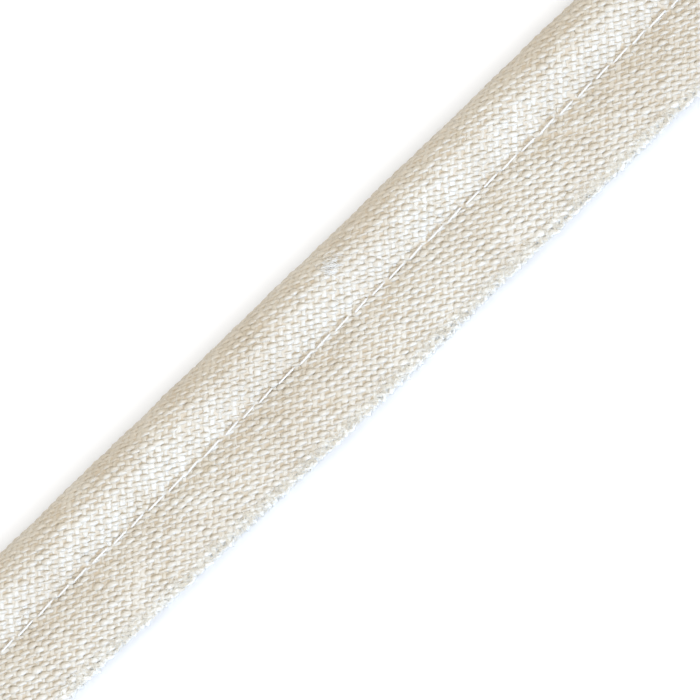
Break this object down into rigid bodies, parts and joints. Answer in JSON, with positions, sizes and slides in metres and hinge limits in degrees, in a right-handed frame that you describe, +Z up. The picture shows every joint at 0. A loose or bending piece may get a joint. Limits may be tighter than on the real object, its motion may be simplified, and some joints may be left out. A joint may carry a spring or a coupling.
{
  "type": "piping trim",
  "caption": "Straight cut length of linen piping trim: a round cloth-covered bead beside a flat two-layer sewing flange with raw edges.",
  "frame": {"origin": "middle of the footprint, on the surface that the trim lies on", "axes": "+X along the trim, +Y across it towards the bead, +Z up"},
  "size_m": [0.15, 0.0228, 0.01],
  "materials": {
    "linen": "natural bias-cut plain-weave linen, matt, slightly slubby",
    "thread": "white spun sewing thread, slight sheen",
    "filling": "cut fibre ends inside the bead, matt"
  },
  "bodies": {
    "root": {"piping": "linen"}
  },
  "joints": []
}
